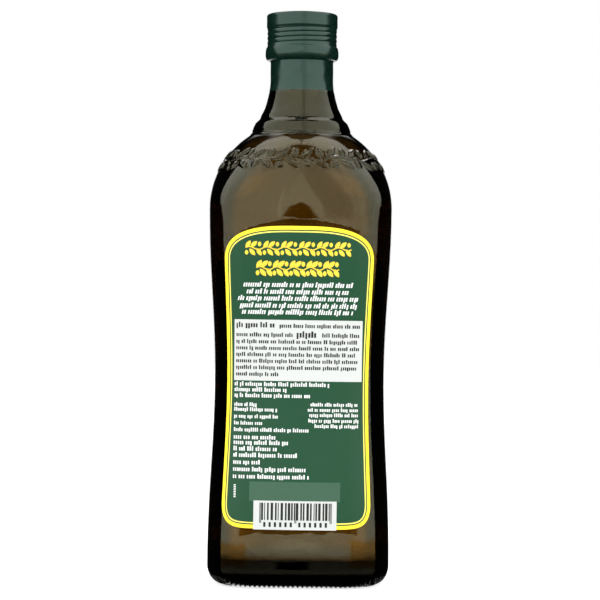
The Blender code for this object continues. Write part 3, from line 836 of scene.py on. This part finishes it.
# what each label carries: panels and fields as left, right, foot and top, and rows of print as above
labelPrint = {
    "back": {
        "panels": ((-28.8, 29.1, 93.2, 120.5), (-18.7, 18.4, 26.95, 39.8)),
        "field": (-20.7, 19.9, 39.6, 48.2),
        "white": whiteRows, "leaning": whiteLeaning, "dark": darkRows, "bars": True,
    },
    "front": {
        "panels": ((-24.0, 24.0, 62.0, 74.0),), "field": (-20.0, 20.0, 36.0, 46.0),
        "white": [(-21.0, 21.0, 55.0, 1.7, 1.1), (-17.0, 17.0, 51.0, 1.7, 1.1)],
        "leaning": [(-22.0, 22.0, 133.6, 1.9, 1.15), (-18.0, 18.0, 129.8, 1.9, 1.15)],
        "dark": [(-20.5, 20.5, 69.0, 2.2, 1.5), (-18.0, 18.0, 64.6, 1.8, 1.2)], "bars": False,
    },
}
# the branches at the head of both labels and the front's own: from, to, foot, height and repeats
headBranches = ((-24.3, 23.6, 148.9, 7.0, 6), (-19.2, 18.2, 139.7, 7.6, 5))
frontBranch = (-18.0, 18.0, 37.4, 7.2, 5)
frontSprig = {"centre": (0.0, 101.0), "reach": 20.0, "rise": 13.0, "pairs": 6, "leaf": 13.0, "olive": 4.4}
bars = {
    "from": -15.1, "to": 15.0, "foot": 31.2, "top": 38.9,
    "widths": (0.4, 0.75, 1.1), "gaps": (0.38, 0.5, 0.85),
    "long": (-16.0, -15.5, -0.3, 0.2, 15.4, 15.9), "longFoot": 29.9, "longWidth": 0.32,
    "marks": ((-14.2, -2.4, 6), (1.4, 13.2, 6)), "markFoot": 28.2, "markTop": 30.3, "markWidth": 1.0,
    # a short row of plain print turned on its side: left, right and width, then from, to and pitch
    "turned": (-27.9, -26.9, 0.45), "turnedRow": (41.0, 46.4, 0.75),
}


def barBlocks(rng):
    # upright bars of one to three widths, a longer pair at each end and in the middle, and plain marks below
    boxes = []
    at = bars["from"]
    while at < bars["to"]:
        wide = float(rng.choice(bars["widths"]))
        boxes.append((at, at + wide, bars["foot"], bars["top"]))
        at += wide + float(rng.choice(bars["gaps"]))
    for place in bars["long"]:
        boxes.append((place, place + bars["longWidth"], bars["longFoot"], bars["top"]))
    for low, high, count in bars["marks"]:
        for place in np.linspace(low, high, count):
            boxes.append((place, place + bars["markWidth"], bars["markFoot"], bars["markTop"]))
    return boxes


print("labels")
rng = np.random.default_rng(11)
for side, design in labelPrint.items():
    labelPiece(side + "_label_sheet", [labelSheet(side)], greenPaper, side + "_label")
    labelPiece(side + "_label_border", [borderStrip(0.05, label["borderWidth"], side)], yellowInk)
    line = borderStrip(label["lineFrom"], label["lineTo"], side)
    labelPiece(side + "_label_line", [line], paleLineInk)
    gold = [shape for row in headBranches for shape in branchRow(*row)]
    light = [patch(*design["field"], side, level=0)]
    if side == "front":
        leaves, fruit = sprig(**frontSprig)
        gold += leaves + branchRow(*frontBranch)
        light += inked(fruit, side, level=1)
    labelPiece(side + "_label_gold", inked(gold, side), goldInk)
    labelPiece(side + "_label_panel", [patch(*panel, side) for panel in design["panels"]], panelPaper)
    labelPiece(side + "_label_light_field", light, lightGreenInk)
    boxes = [box for row in design["white"] for box in wordRow(rng, *row)]
    if design["bars"]:
        left, right, wide = bars["turned"]
        boxes += [(left, right, z, z + wide) for z in np.arange(*bars["turnedRow"])]
    leaning = [box for row in design["leaning"] for box in wordRow(rng, *row)]
    white = [blocks(boxes, side), blocks(leaning, side, slant=printForm["slant"])]
    labelPiece(side + "_label_white_print", white, whiteInk)
    boxes = [box for row in design["dark"] for box in wordRow(rng, *row)]
    if design["bars"]:
        boxes += barBlocks(rng)
    labelPiece(side + "_label_dark_print", [blocks(boxes, side)], blackInk)


print("light and camera")
floorForm = {"half": 3.0, "drop": 0.0002, "glow": 0.75}  # metres, and the strength of its own light
far = floorForm["half"]
floorMesh = bpy.data.meshes.new("studio_floor")
floorMesh.from_pydata([(-far, -far, 0), (far, -far, 0), (far, far, 0), (-far, far, 0)], [], [(0, 1, 2, 3)])
floor = bpy.data.objects.new("studio_floor", floorMesh)
scene.collection.objects.link(floor)
floorPaper, tree, shader = startMaterial("paleStudioPaper", {
    "Base Color": (0.8, 0.8, 0.8, 1.0), "Roughness": 0.9,
    "Emission Color": (1, 1, 1, 1), "Emission Strength": floorForm["glow"],
})
floorMesh.materials.append(floorPaper)
floor.visible_glossy = False
floor.visible_transmission = False
floor.location.z = -floorForm["drop"]

# The studio as a sum of soft-edged fields on the sky. Azimuth 0 is the camera's own side, whose light the
# glass mirrors, and 180 the far side, seen through it. Each field has a middle azimuth, 0 unless given, a
# half width, a lowest and highest elevation, all in degrees, and a level. The dark ones take away.
onion = {"half": 5.4, "low": 1.1, "high": 47, "soft": 0.09, "fade": 0.4, "point": 1.3}
lowStrip = {"half": 5, "low": -14, "high": -5.2, "soft": 3, "fade": 0.6, "level": 0.7}
footStrip = {"half": 10, "low": -40, "high": -26, "soft": 4, "fade": 4, "level": 0.6}
brightFields = [
    {"half": 84, "low": -6.4, "high": 95, "soft": 3, "fade": 1.2, "widen": 1.1, "level": 1.78},
    {"half": 84, "low": -30, "high": -6.4, "soft": 3, "fade": 8, "level": 0.2},
    {"half": 4.6, "low": -5.1, "high": -4.0, "soft": 2, "fade": 0.4, "level": 0.6},
    {**onion, "level": 0.22},
    {**lowStrip, "azimuth": 171},
    {**lowStrip, "azimuth": 189},
    {"azimuth": 180, "half": 13, "low": -40, "high": 12, "soft": 3, "fade": 3},
    {**footStrip, "azimuth": 158},
    {**footStrip, "azimuth": 202},
    {"overhead": True, "half": 26, "low": 93, "high": 122, "soft": 8, "fade": 3, "level": 0.55},
    {"overhead": True, "half": 14, "low": 122, "high": 150, "soft": 5, "fade": 5, "level": 4.0},
    {"azimuth": -4.7, "half": 0.3, "low": 1.3, "high": 34, "soft": 0.25, "fade": 0.4, "level": 0.6},
]
darkFields = [
    {"azimuth": -1.4, "half": 3.4, "low": -9.6, "high": -7.7, "soft": 0.8, "fade": 0.2},
    {"half": 30, "low": -3.1, "high": 1.1, "soft": 6, "fade": 0.12, "sag": 2.1},
    {"half": 4.3, "low": 1.2, "high": 8.5, "soft": 0.15, "fade": 0.1, "point": 0.7},
    {"azimuth": 7, "half": 8, "low": 1.3, "high": 60, "soft": 5, "fade": 0.5, "outside": onion, "level": 0.3},
    {"overhead": True, "half": 23, "low": 70, "high": 90.5, "soft": 3, "fade": 1.5, "level": 0.97},
]
# two warm cards low on the camera's own side, which the foot mirrors at its sides
warmCard = {"half": 38, "low": -9.0, "soft": 3, "fade": 0.6, "level": 0.9}
warmFields = [{**warmCard, "azimuth": 50, "high": -3.6}, {**warmCard, "azimuth": -50, "high": -4.2}]
warmColour = "ffc878"
surroundLevel = 0.006

world = bpy.data.worlds.new("studioSurround")
scene.world = world
world.use_nodes = True
tree = world.node_tree


def skyMath(operation, first, second=None):
    # a sum, product or the like in the sky's tree, of one or two values, each a number or another node's output
    values, links = {}, {}
    for index, source in enumerate((first, second)):
        if isinstance(source, (int, float)):
            values[index] = source
        elif source is not None:
            links[index] = source
    return addNode(tree, "ShaderNodeMath", values, links, operation=operation)


direction = addNode(tree, "ShaderNodeTexCoord").outputs["Generated"]
flatDirection = addNode(tree, "ShaderNodeVectorMath", {1: (1, 1, 0)}, {0: direction}, operation="MULTIPLY")
flatDirection = addNode(tree, "ShaderNodeVectorMath", None, {0: flatDirection}, operation="NORMALIZE")
across, along, upwards = addNode(tree, "ShaderNodeSeparateXYZ", None, {0: direction}).outputs
elevation = skyMath("DEGREES", skyMath("ARCSINE", upwards))
frontwards = skyMath("MULTIPLY", along, -1.0)
pitch = skyMath("DEGREES", skyMath("ARCTAN2", upwards, frontwards))
sideAngle = skyMath("ABSOLUTE", skyMath("DEGREES", skyMath("ARCSINE", across)))
widenFrom, widenTo = 2, 90  # degrees of elevation over which a field may widen
sagReach = 15.0  # degrees from the middle to where a sagging top is lowest


def skyField(half, low, high, soft, fade, level=1.0, azimuth=0, widen=0.0, sag=0.0, point=0.0,
             overhead=False, outside=None):
    # a box is smooth steps in the angle from the middle azimuth and in elevation, multiplied; it may widen by
    # so many degrees for each degree up, and its top sag by so many at its ends; a pointed field is one step in
    # the offset across, as a share of half, plus the share of its height to the power point; an overhead box
    # is measured by pitch, up from the front over the top; outside cuts it off at another's edge
    a = math.radians(azimuth)
    middle = (math.sin(a), -math.cos(a), 0)
    turn = addNode(tree, "ShaderNodeVectorMath", {1: middle}, {0: flatDirection}, operation="DOT_PRODUCT")
    turn = skyMath("DEGREES", skyMath("ARCCOSINE", turn.outputs["Value"]))
    rise = elevation
    if overhead:
        turn, rise = sideAngle, pitch
    if widen:
        more = rangeNode(tree, elevation, widenFrom, widenTo, 0.0, (widenTo - widenFrom) * widen)
        turn = skyMath("SUBTRACT", turn, more)
    sagging = skyMath("ADD", rise, rangeNode(tree, turn, 0.0, sagReach, 0.0, sag, smooth=True))
    if point:
        up = skyMath("POWER", rangeNode(tree, rise, low, high), point)
        turn = skyMath("ADD", skyMath("DIVIDE", turn, half), up)
        half = 1.0
    mask = rangeNode(tree, turn, half + soft, half - soft, 0.0, level, smooth=True)
    for edge, way, height in ((low, 1, rise), (high, -1, sagging)):
        step = rangeNode(tree, height, edge - way * fade, edge + way * fade, smooth=True)
        mask = skyMath("MULTIPLY", mask, step)
    if outside:
        rest = skyMath("SUBTRACT", 1.0, skyField(**outside))
        mask = skyMath("MULTIPLY", mask, rest)
    return mask


total = surroundLevel
for field in brightFields:
    total = skyMath("ADD", total, skyField(**field))
for field in darkFields:
    total = skyMath("MULTIPLY", total, skyMath("SUBTRACT", 1.0, skyField(**field)))
# the camera itself sees plain white behind the bottle
seen = addNode(tree, "ShaderNodeLightPath").outputs["Is Camera Ray"]
strength = addNode(tree, "ShaderNodeMix", {"B": 1.0}, {"Factor": seen, "A": total})
warmth = 0.0
for field in warmFields:
    warmth = skyMath("ADD", warmth, skyField(**field))
tint = addNode(tree, "ShaderNodeMix", None, {"Factor": warmth}, data_type="RGBA")
white, warm, mixed = tint.inputs[6], tint.inputs[7], tint.outputs[2]  # the colour sockets of the mix
white.default_value = (1, 1, 1, 1)
warm.default_value = linear(warmColour)
background = tree.nodes["Background"]
tree.links.new(mixed, background.inputs["Color"])
tree.links.new(strength.outputs["Result"], background.inputs["Strength"])

# metres, a lens that gives 2150 pixels over a 600 pixel frame, and the photograph's slight roll in degrees
view = {"distance": 1.0, "height": 0.1295, "lens": 129.0, "sensor": 36.0, "roll": -0.48}
cameraData = bpy.data.cameras.new("photoCamera")
cameraData.sensor_width = view["sensor"]
cameraData.lens = view["lens"]
camera = bpy.data.objects.new("photoCamera", cameraData)
camera.location = (0.0, -view["distance"], view["height"])
camera.rotation_euler = (math.pi / 2, math.radians(view["roll"]), 0.0)
scene.collection.objects.link(camera)
scene.camera = camera

scene.view_settings.view_transform = "Standard"
scene.cycles.sampling_pattern = "TABULATED_SOBOL"  # its grain goes in denoising, that of blue noise stays
scene.cycles.max_bounces = 32
scene.cycles.transmission_bounces = 24
scene.cycles.glossy_bounces = 12
scene.cycles.diffuse_bounces = 3
